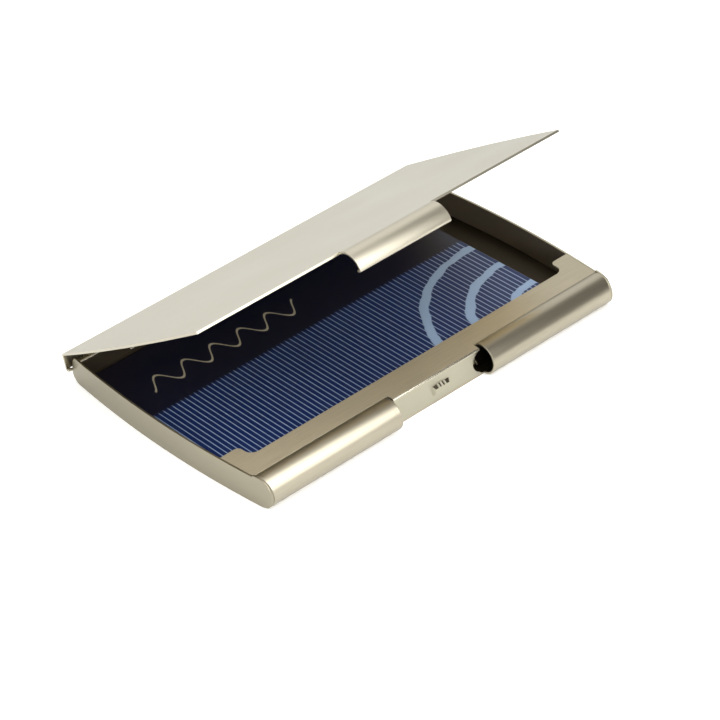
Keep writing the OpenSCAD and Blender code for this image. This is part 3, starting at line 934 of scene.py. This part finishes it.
class CASE_OT_stage(bpy.types.Operator):
    """Pale floor, soft studio light and the camera"""
    bl_idname = "case.stage"
    bl_label = "Stage"

    def execute(self, context):
        stage = context.scene.case_stage
        bpy.ops.object.select_all(action="DESELECT")
        bpy.ops.mesh.primitive_plane_add(size=6, location=(0, 0, 0))
        floor = context.object
        floor.name = "studio_floor"
        made, tree, shader, place = new_material("matt white studio floor")
        # Seamless matt board with a very faint tooth
        tooth_size = 2
        tooth = add_node(tree, "ShaderNodeTexNoise", {
            "Vector": place, "Scale": 1 / (tooth_size * MM), "Detail": 2.0})
        tone = add_node(tree, "ShaderNodeMix", {
            "Factor": tooth.outputs["Fac"], "A": linear("#F4F4F2"), "B": linear("#F8F8F7")},
            data_type="RGBA")
        tree.links.new(tone.outputs["Result"], shader.inputs["Base Color"])
        shader.inputs["Roughness"].default_value = 0.9
        shader.inputs["Specular IOR Level"].default_value = 0.1
        # Lit from below a little, like a shooting table
        shader.inputs["Emission Color"].default_value = (1.0, 1.0, 1.0, 1.0)
        shader.inputs["Emission Strength"].default_value = 0.3
        floor.data.materials.append(made)

        world = bpy.data.worlds.new("studio_room")
        world.use_nodes = True
        background = world.node_tree.nodes["Background"]
        background.inputs["Color"].default_value = linear("#FFFCF4")
        background.inputs["Strength"].default_value = stage.world_light
        context.scene.world = world

        # Places and sizes of the lights are in metres
        self.add_light("overhead", "SUN", place=(-0.3, 0.3, 0.9), target=(0, 0, 0),
                       strength=stage.sun_light, size=math.radians(90))
        self.add_light("front_softbox", "AREA", place=(0.05, -0.165, 0.165),
                       target=(0.03, -0.033, 0.005), strength=stage.softbox_light,
                       size=(0.12, 0.32))
        self.add_light("low_fill", "AREA", place=(-0.16, -0.26, 0.07), target=(-0.02, 0.02, 0.005),
                       strength=stage.fill_light, size=(0.12, 0.05), spread=60)
        self.add_light("back_panel", "AREA", place=(0.30, 0.33, 0.30), target=(0.03, -0.02, 0.0),
                       strength=stage.back_light, size=(0.5, 0.5))

        self.add_camera(context)
        context.scene.view_settings.view_transform = "Standard"
        return {"FINISHED"}

    def add_light(self, name, kind, place, target, strength, size, spread=180):
        """A light at a place, aimed at a target.

        Its size is an angle for the sun, and width and height for a panel, whose light can be
        kept to a spread in degrees.
        """
        bpy.ops.object.select_all(action="DESELECT")
        bpy.ops.object.light_add(type=kind, location=place)
        light = bpy.context.object
        light.name = light.data.name = name
        light.rotation_euler = (Vector(target) - Vector(place)).to_track_quat("-Z", "Y").to_euler()
        light.data.energy = strength
        if kind == "SUN":
            light.data.angle = size
        else:
            light.data.shape = "RECTANGLE"
            light.data.size, light.data.size_y = size
            light.data.spread = math.radians(spread)

    def add_camera(self, context):
        """A long lens that looks down on the case from its front left, tipped a little."""
        azimuth, elevation, tip = (math.radians(a) for a in (-36.795, 35.444, -6.907))
        distance, focal = 606.85, 146.93
        aim_right, aim_down = 3.147, 9.437
        right = Vector((math.cos(azimuth), math.sin(azimuth), 0))
        back = Vector((math.sin(azimuth) * math.cos(elevation),
                       -math.cos(azimuth) * math.cos(elevation), math.sin(elevation)))
        up = back.cross(right)
        target = Vector((0, 0, RIM)) + aim_right * right - aim_down * up
        side = math.cos(tip) * right + math.sin(tip) * up
        top = math.cos(tip) * up - math.sin(tip) * right
        bpy.ops.object.select_all(action="DESELECT")
        bpy.ops.object.camera_add()
        camera = context.object
        camera.name = "studio_camera"
        turn = Matrix((side, top, back)).transposed().to_4x4()
        camera.matrix_world = Matrix.Translation((target + distance * back) * MM) @ turn
        camera.data.sensor_width = 36
        camera.data.lens = focal
        camera.data.clip_start, camera.data.clip_end = 0.01, 20
        context.scene.camera = camera


class CASE_PT_panel(bpy.types.Panel):
    """Sidebar panel that lists the case's sizes, colours and building steps"""
    bl_label = "Card Case"
    bl_idname = "CASE_PT_panel"
    bl_space_type = "VIEW_3D"
    bl_region_type = "UI"
    bl_category = "Card Case"

    def draw(self, context):
        scene = context.scene
        for group in (scene.case_sizes, scene.case_colours, scene.case_stage):
            box = self.layout.box()
            for name in group.bl_rna.properties.keys():
                if name not in ("rna_type", "name"):
                    box.prop(group, name)
        for step in STEPS:
            self.layout.operator(step.bl_idname)


STEPS = (CASE_OT_base_shell, CASE_OT_end_plates, CASE_OT_front_ledge, CASE_OT_springs, CASE_OT_lid,
         CASE_OT_hinge_metal, CASE_OT_cards, CASE_OT_stage)
CLASSES = (CaseSizes, CaseColours, StageSettings, *STEPS, CASE_PT_panel)


def register():
    for made in CLASSES:
        bpy.utils.register_class(made)
    bpy.types.Scene.case_sizes = bpy.props.PointerProperty(type=CaseSizes)
    bpy.types.Scene.case_colours = bpy.props.PointerProperty(type=CaseColours)
    bpy.types.Scene.case_stage = bpy.props.PointerProperty(type=StageSettings)


def unregister():
    del bpy.types.Scene.case_stage
    del bpy.types.Scene.case_colours
    del bpy.types.Scene.case_sizes
    for made in reversed(CLASSES):
        bpy.utils.unregister_class(made)


def main():
    """Registers the classes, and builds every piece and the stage."""
    register()
    for step in STEPS:
        group, name = step.bl_idname.split(".")
        getattr(getattr(bpy.ops, group), name)()


if __name__ == "__main__":
    main()
